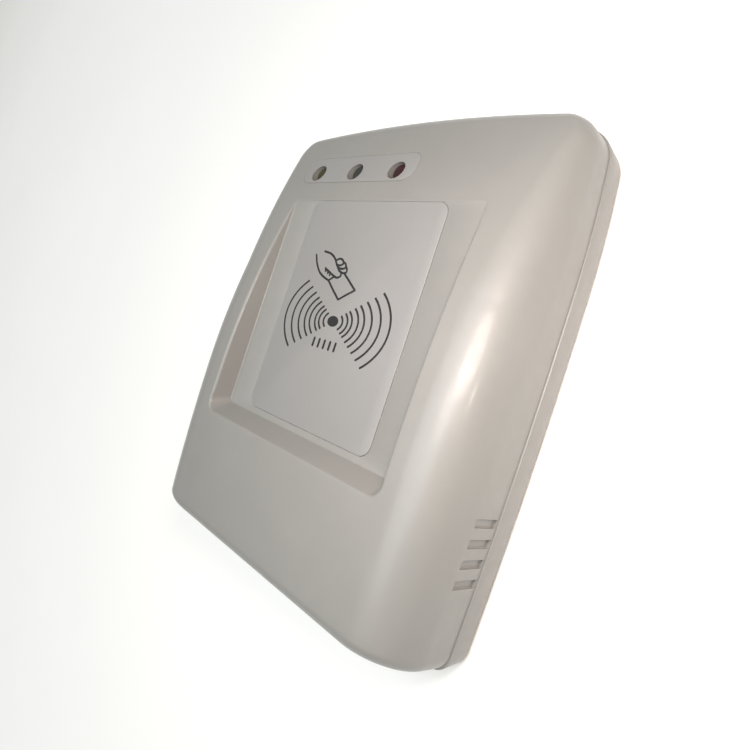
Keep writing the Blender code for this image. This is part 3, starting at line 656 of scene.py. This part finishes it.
def make_cover_shell(finish):
    tray = tray_rings()
    rings = label_seat_rings() + tray + outer_rings(tray[-1][:, :2]) + inner_rings()
    shell = show("cover_shell", skinned("cover_shell", rings), finish)
    sleeves = []
    holes = []
    for centre in led_centres():
        ceiling = float(arch_height(centre.y)) - WALL / 2.0
        profile = ((SLEEVE_RADIUS, ceiling - SLEEVE_LENGTH), (SLEEVE_RADIUS, ceiling))
        sleeves.append(turned((centre.x, centre.y), profile))
        holes.append(hole_cutter(centre, ceiling - 2 * SLEEVE_LENGTH))
    carve(shell, sleeves, "UNION")
    carve(shell, [panel_seat()])
    carve(shell, holes)
    _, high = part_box("usb_shell")
    carve(shell, slot_cutters() + [inlet_cutter(SEAM_Z - WALL, high.z + INLET_MARGIN)])
    smooth(shell.data)
    return shell


def lower_loop(inset):
    """Plan of the lower shell, with the case's bowed front."""
    loop = case_plan(0.0)
    placed = place_on_case(loop[:, 0], loop[:, 1], np.full(len(loop), SEAM_Z))[:, :2] / (1.0 - LEDGE_SHARE)
    rearward = np.maximum(placed[:, 1] / HALF_LENGTH, 0.0) ** 2
    placed[:, 1] -= REAR_SAG * (placed[:, 0] / HALF_WIDTH) ** 2 * rearward
    return placed - outward(placed) * inset


def base_levels():
    """(inset, z) pairs up the outside of the lower shell, over its lip and down its inside."""
    levels = []
    for i in range(BASE_FOOT_STEPS + 1):
        angle = math.radians(90.0 * i / BASE_FOOT_STEPS)
        inset = BASE_DRAFT + BASE_FOOT_ROUND * (1.0 - math.sin(angle))
        levels.append((inset, BASE_Z + BASE_FOOT_ROUND * (1.0 - math.cos(angle))))
    inner = LIP_INSET + LIP_WALL
    lip_top = SEAM_Z + LIP_HEIGHT
    levels += [(BASE_DRAFT * 0.5, (BASE_Z + SEAM_Z) / 2.0), (0.0, SEAM_Z - BASE_EDGE),
               (0.3 * BASE_EDGE, SEAM_Z - 0.3 * BASE_EDGE), (BASE_EDGE, SEAM_Z)]
    levels += [(LIP_INSET, SEAM_Z), (LIP_INSET, lip_top), (inner, lip_top), (inner, BASE_Z + WALL)]
    return levels


def foot_seat_cutter(index):
    """Cutter for the shallow round seat of a rubber foot."""
    low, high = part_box("foot_%d" % index)
    centre = (low + high) / 2.0
    radius = (high.x - low.x) / 2.0 + GAP
    profile = ((radius + CUTTER_FLARE, BASE_Z - WALL), (radius + FOOT_SEAT_FLARE, BASE_Z),
               (radius, BASE_Z + FOOT_SEAT_EDGE), (radius, BASE_Z + FOOT_SEAT_DEPTH))
    return turned((centre.x, centre.y), profile)


def screw_cutter(index):
    """Cutter for a case screw's counterbore and its hole."""
    centre = node_centre("case_screw_%d" % index)
    head_z = BASE_Z + SCREW_HEAD_DEPTH
    profile = ((SCREW_HEAD_RADIUS + CUTTER_FLARE, BASE_Z - WALL),
               (SCREW_HEAD_RADIUS + SCREW_HEAD_FLARE, BASE_Z),
               (SCREW_HEAD_RADIUS, BASE_Z + SCREW_HEAD_FLARE), (SCREW_HEAD_RADIUS, head_z),
               (SCREW_HOLE_RADIUS, head_z), (SCREW_HOLE_RADIUS, BASE_Z + 2 * WALL))
    return turned((centre.x, centre.y), profile)


def board_post(index, radius, z_low, z_high):
    """Post under a screw of the board, or the hole in it."""
    centre = node_centre("pcb_screw_%d" % index)
    return turned((centre.x, centre.y), ((radius, z_low), (radius, z_high)))


def make_base_shell(finish):
    rings = [at_height(lower_loop(inset), z) for inset, z in base_levels()]
    shell = show("base_shell", skinned("base_shell", rings), finish)
    cutters = []
    for i in CORNERS:
        cutters.append(foot_seat_cutter(i))
        cutters.append(screw_cutter(i))
    low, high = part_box("rating_label")
    seat = box_plan(high.x + GAP, low.y - GAP, high.y + GAP, PLATE_CORNER, PLATE_CORNER)
    cutters.append(prism(seat, BASE_Z - WALL, BASE_Z + PLATE_DEPTH))
    board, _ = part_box("main_pcb")
    cutters.append(inlet_cutter(board.z - GAP, SEAM_Z + 2 * WALL))
    carve(shell, cutters)
    carve(shell, [board_post(i, POST_RADIUS, BASE_Z + WALL / 2, board.z - GAP) for i in CORNERS], "UNION")
    carve(shell, [board_post(i, POST_HOLE_RADIUS, BASE_Z + WALL, board.z + WALL) for i in CORNERS])
    smooth(shell.data)
    return shell


# ---------------------------------------------------------------- labels and print

# Print: a dot, waves on both sides of it, a hand with a card, and plain bars
INK_TOP_Z = TRAY_Z + LABEL_PROUD + 0.02 * MM
INK_LOW_Z = TRAY_Z + LABEL_PROUD - 0.01 * MM
STROKE = 0.5 * MM
STROKE_END_STEPS = 8
DOT = np.array((1.0, -2.25)) * MM
DOT_SIZE = np.array((1.7, 1.2)) * MM
DOT_STEPS = 48
PRINT_SQUEEZE = 0.7
WAVE_HALF_ANGLE = 43.0
WAVE_HALF_STEPS = 16
BAR_COUNT = 5
BAR_Y = (2.25 * MM, 3.05 * MM, 3.85 * MM)
BAR_WIDTH = 0.62 * MM
LINE_LIFT = 0.0005 * MM

# In millimetres
WAVE_RADII = (3.0, 4.5, 5.8, 7.6, 9.3, 11.4, 13.8, 16.4)
BAR_FIRST_X = 4.9
BAR_PITCH = 1.75

# Each line of the hand and its card: plan points in millimetres, and steps between two of them
CARD_LINES = (
    (((6.6, -10.9), (4.2, -9.0), (1.6, -7.1)), 1),
    (((1.6, -7.1), (-0.4, -8.4), (-2.5, -9.7)), 1),
    (((-2.5, -9.7), (-0.2, -11.3), (2.2, -12.9)), 1),
    (((6.6, -10.9), (5.8, -11.5), (5.0, -12.0)), 1),
)
HAND_LINES = (
    (((13.5, -16.4), (12.3, -14.4), (10.6, -12.6), (8.8, -11.6), (6.6, -10.9)), 8),
    (((10.9, -17.4), (8.6, -17.0), (6.8, -16.0), (5.6, -14.7), (4.2, -13.4)), 8),
    (((8.9, -13.5), (7.4, -12.9), (6.0, -12.3), (4.4, -11.8), (3.3, -12.2), (3.4, -13.0), (4.2, -13.4)), 8),
    (((8.9, -13.6), (8.5, -12.8), (8.0, -13.2), (7.6, -12.4), (7.0, -12.8), (6.8, -12.1)), 1),
    (((6.3, -15.6), (5.2, -16.1), (4.2, -15.9), (3.6, -15.1), (4.6, -14.6), (5.6, -14.7)), 8),
    (((3.8, -15.5), (2.9, -15.1), (2.5, -14.3), (3.5, -13.9), (4.6, -14.0)), 8),
    (((2.6, -14.7), (1.9, -13.9), (1.9, -13.2), (2.9, -13.0), (3.6, -13.2)), 8),
)


def film_levels(low, high, edge):
    """(grow, z) pairs up the side of a film with a rounded upper edge."""
    levels = [(0.0, low), (0.0, high - edge)]
    for turn in (30.0, 60.0, 90.0):
        angle = math.radians(turn)
        levels.append((-edge * (1.0 - math.cos(angle)), high - edge * (1.0 - math.sin(angle))))
    return levels


def make_face_film(finish):
    levels = film_levels(TRAY_Z - FILM_DEPTH, TRAY_Z + LABEL_PROUD, FILM_EDGE)
    return show("face_film", skinned("face_film", [face_label_loop(grow, z) for grow, z in levels]), finish)


def make_panel_film(finish):
    levels = film_levels(-FILM_DEPTH, PANEL_PROUD, PANEL_EDGE)
    film = show("panel_film", arched_plan_body(*panel_edges(), PANEL_CORNER, levels), finish)
    carve(film, [hole_cutter(centre, float(arch_height(centre.y)) - WALL) for centre in led_centres()])
    smooth(film.data)
    return film


def smooth_line(points, steps):
    """Curve through points: each stretch bends to meet its neighbours."""
    given = [np.array(p, float) for p in points]
    padded = [2 * given[0] - given[1]] + given + [2 * given[-1] - given[-2]]
    line = []
    for a, b, c, d in zip(padded, padded[1:], padded[2:], padded[3:]):
        for i in range(steps):
            t = i / steps
            line.append(0.5 * (2 * b + (c - a) * t + (2 * a - 5 * b + 4 * c - d) * t ** 2
                               + (3 * b - a - 3 * c + d) * t ** 3))
    line.append(given[-1])
    return np.array(line)


def stroke(line, width, z_low, z_high):
    """Flat ribbon with round ends along a line of plan points."""
    along = np.gradient(line, axis=0)
    along /= np.linalg.norm(along, axis=1)[:, None]
    across = np.stack([-along[:, 1], along[:, 0]], axis=1) * width / 2.0
    turns = [math.pi * i / STROKE_END_STEPS for i in range(1, STROKE_END_STEPS)]
    outline = list(line - across)
    for turn in turns:
        outline.append(line[-1] - across[-1] * math.cos(turn) + along[-1] * width / 2.0 * math.sin(turn))
    outline += list(reversed(line + across))
    for turn in turns:
        outline.append(line[0] + across[0] * math.cos(turn) - along[0] * width / 2.0 * math.sin(turn))
    return prism(outline, z_low, z_high)


def wave_line(radius, side):
    """Arc of one wave. side is 1 or -1."""
    points = []
    for i in range(2 * WAVE_HALF_STEPS + 1):
        angle = math.radians(WAVE_HALF_ANGLE * (i / WAVE_HALF_STEPS - 1.0))
        points.append(DOT + radius * MM * np.array((side * math.cos(angle), PRINT_SQUEEZE * math.sin(angle))))
    return np.array(points)


def make_wave_print(ink):
    bodies = []
    for side in (1.0, -1.0):
        for radius in WAVE_RADII:
            bodies.append(stroke(wave_line(radius, side), STROKE, INK_LOW_Z, INK_TOP_Z))
    turns = [2 * math.pi * i / DOT_STEPS for i in range(DOT_STEPS)]
    dot = [DOT + DOT_SIZE * np.array((math.cos(turn), math.sin(turn))) for turn in turns]
    bodies.append(prism(dot, INK_LOW_Z, INK_TOP_Z))
    return show("print_waves", joined("print_waves", bodies), ink)


def make_hand_print(ink):
    """A card held between a thumb and three folded fingers. Each line lies a hair over the one before."""
    bodies = []
    for i, (points, steps) in enumerate(CARD_LINES + HAND_LINES):
        line = smooth_line([(x * MM, y * MM) for x, y in points], steps)
        bodies.append(stroke(line, STROKE, INK_LOW_Z, INK_TOP_Z + i * LINE_LIFT))
    return show("print_card_hand", joined("print_card_hand", bodies), ink)


def make_bar_print(ink):
    """Plain short bars under the waves."""
    bodies = []
    for i in range(BAR_COUNT):
        x = (BAR_FIRST_X - BAR_PITCH * i) * MM
        bodies.append(stroke(np.array([(x, y) for y in BAR_Y]), BAR_WIDTH, INK_LOW_Z, INK_TOP_Z))
    return show("print_bars", joined("print_bars", bodies), ink)


# ---------------------------------------------------------------- indicators and feet

def make_lens(node, name, finish):
    """Domed indicator with a flange, set under its hole."""
    centre = node_centre(node)
    low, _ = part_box(node)
    tip = float(arch_height(centre.y)) - LED_TIP_DEPTH
    flange_z = low.z + LED_FLANGE_HEIGHT
    profile = [(LED_FLANGE_RADIUS - LED_FLANGE_EDGE / 2.0, low.z),
               (LED_FLANGE_RADIUS, low.z + LED_FLANGE_EDGE),
               (LED_FLANGE_RADIUS, flange_z - LED_FLANGE_EDGE),
               (LED_FLANGE_RADIUS - LED_FLANGE_EDGE, flange_z),
               (LED_RADIUS, flange_z + LED_FLANGE_EDGE / 2.0)]
    for i in range(LED_DOME_STEPS):
        angle = math.radians(LED_DOME_ANGLE * i / (LED_DOME_STEPS - 1))
        profile.append((LED_RADIUS * math.cos(angle), tip - LED_DOME * (1.0 - math.sin(angle))))
    return show(name, turned((centre.x, centre.y), profile), finish)


def make_foot(index, finish):
    """Round rubber foot with a softened edge and a dished middle."""
    low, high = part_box("foot_%d" % index)
    centre = (low + high) / 2.0
    radius = (high.x - low.x) / 2.0
    profile = [(radius * share, z) for share, z in FOOT_PROFILE] + [(radius, high.z)]
    return show("pad_%d" % index, turned((centre.x, centre.y), profile), finish)


# ---------------------------------------------------------------- stage

FLOOR_HALF = 3.0
FLOOR_THICKNESS = 0.02
SKY_COLOUR = (1.0, 0.92, 0.82, 1.0)
SKY_STRENGTH = 0.3

# Disc lamps: place and diameter in metres, power in watts, colour
LAMPS = (
    ("softbox", (0.0, 0.0, 1.5), 1.5, 19.8, (0.86, 0.94, 1.0)),
    ("key", (-0.07, -0.02, 0.09), 0.04, 0.086, (1.0, 0.85, 0.79)),
    ("fill", (-0.06, 0.0, 0.12), 0.04, 0.03, (1.0, 1.0, 0.94)),
    ("glint", (-0.227, -0.021, 0.18), 0.014, 0.06, (1.0, 0.9, 0.76)),
)
LAMP_TARGET = Vector((0.0, 0.0, 0.01))

CAMERA_PLACE = Vector((-83.41, 6.84, 96.35)) * MM
CAMERA_RIGHT = Vector((-0.70939, -0.31397, -0.63102))
CAMERA_UP = Vector((0.22854, -0.94939, 0.21546))
CAMERA_LENS = 25.2
CAMERA_SENSOR = 36.0
CAMERA_NEAREST = 0.005


def make_floor():
    made, tree, shader = new_material("floor_paper")
    tone = noise(tree, 6.0, detail=3.0)
    stops = ((0.3, (0.96, 0.94, 0.91)), (0.7, (0.98, 0.96, 0.93)))
    tree.links.new(ramp(tree, tone, stops), shader.inputs["Base Color"])
    tree.links.new(spread(tree, noise(tree, 40.0), 0.75, 0.85), shader.inputs["Roughness"])
    bump(tree, shader, ((noise(tree, 900.0), 0.01 * MM, 0.2),))
    mesh = box_body(-FLOOR_HALF, FLOOR_HALF, -FLOOR_HALF, FLOOR_HALF, -FLOOR_THICKNESS, 0.0)
    show("floor", mesh, made)


def make_light(name, place, size, power, colour):
    data = bpy.data.lights.new(name, "AREA")
    data.shape = "DISK"
    data.size = size
    data.energy = power
    data.color = colour
    lamp = bpy.data.objects.new(name, data)
    bpy.context.scene.collection.objects.link(lamp)
    lamp.location = place
    lamp.visible_camera = False
    lamp.rotation_euler = (LAMP_TARGET - Vector(place)).to_track_quat("-Z", "Y").to_euler()


def make_lights():
    world = bpy.data.worlds.new("studio")
    bpy.context.scene.world = world
    world.use_nodes = True
    sky = world.node_tree.nodes["Background"]
    sky.inputs["Color"].default_value = SKY_COLOUR
    sky.inputs["Strength"].default_value = SKY_STRENGTH
    for lamp in LAMPS:
        make_light(*lamp)
    bpy.context.scene.view_settings.view_transform = "Standard"


def make_camera():
    data = bpy.data.cameras.new("camera")
    data.lens = CAMERA_LENS
    data.sensor_width = CAMERA_SENSOR
    data.clip_start = CAMERA_NEAREST
    camera = bpy.data.objects.new("camera", data)
    bpy.context.scene.collection.objects.link(camera)
    back = CAMERA_RIGHT.cross(CAMERA_UP).normalized()
    turn = Matrix((CAMERA_RIGHT, CAMERA_UP, back)).transposed().to_4x4()
    camera.matrix_world = Matrix.Translation(CAMERA_PLACE) @ turn
    bpy.context.scene.camera = camera


# ---------------------------------------------------------------- assembly

def take_place(piece, slot, *nodes):
    """Fix a piece to the case, and hide the CAD nodes that it stands for."""
    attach(piece, "root")
    if nodes:
        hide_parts(*nodes)


def dress(names, finish):
    """Give carried-over CAD nodes a finish."""
    for name in names:
        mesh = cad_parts[name].data
        mesh.materials.clear()
        mesh.materials.append(finish)


def numbered(stem, count):
    return ["%s_%d" % (stem, i) for i in range(1, count + 1)]


def main():
    plastic = case_plastic()
    film = grained("print_film", (0.264, 0.26, 0.252), 0.4, 0.35 * MM, 0.006 * MM, variation=0.015)
    ink = grained("print_ink", (0.012, 0.012, 0.012), 0.6, 0.3 * MM, 0.004 * MM, variation=0.15)
    rubber = grained("foot_rubber", (0.03, 0.03, 0.032), 0.8, 0.5 * MM, 0.03 * MM, variation=0.2)
    steel = grained("plated_steel", (0.6, 0.59, 0.57), 0.28, 0.4 * MM, 0.004 * MM, metallic=1.0)
    nylon = grained("nylon", (0.62, 0.6, 0.55), 0.5, 0.4 * MM, 0.01 * MM)
    laminate = grained("laminate", (0.03, 0.15, 0.07), 0.35, 0.8 * MM, 0.006 * MM, variation=0.12)
    epoxy = grained("epoxy", (0.022, 0.022, 0.024), 0.5, 0.25 * MM, 0.012 * MM, variation=0.1)
    copper = grained("coil_wire", (0.5, 0.2, 0.08), 0.35, 0.25 * MM, 0.03 * MM, metallic=1.0, variation=0.1)
    take_place(make_cover_shell(plastic), "case_plastic", "top_cover")
    take_place(make_base_shell(plastic), "case_plastic", "bottom_cover")
    take_place(make_face_film(film), "print_film", "face_label")
    take_place(make_panel_film(film), "print_film", "led_label")
    for make_ink in (make_wave_print, make_hand_print, make_bar_print):
        take_place(make_ink(ink), "print_film")
    # Each lens colour is its own tint, painted much darker as painted shade that stands for the dark well
    # under its hole.
    lenses_painted_dark = (("green", (0.03, 0.034, 0.01)), ("clear", (0.025, 0.03, 0.028)), ("red", (0.028, 0.006, 0.009)))
    for word, colour in lenses_painted_dark:
        node = "led_" + word
        name = "lens_" + word
        take_place(make_lens(node, name, lens_finish(name, colour)), name, node)
    for i in CORNERS:
        take_place(make_foot(i, rubber), "foot_rubber", "foot_%d" % i)
    dress(numbered("led_spacer", 3) + ["antenna_header", "usb_tongue"], nylon)
    dress(["main_pcb"], laminate)
    dress(["antenna_coil"], copper)
    dress(numbered("capacitor", 2) + ["microcontroller", "reader_chip", "voltage_regulator", "buzzer"], epoxy)
    dress(["crystal", "usb_shell"] + numbered("case_screw", 4) + numbered("pcb_screw", 4), steel)
    dress(["rating_label"], film)
    make_floor()
    make_lights()
    make_camera()


main()
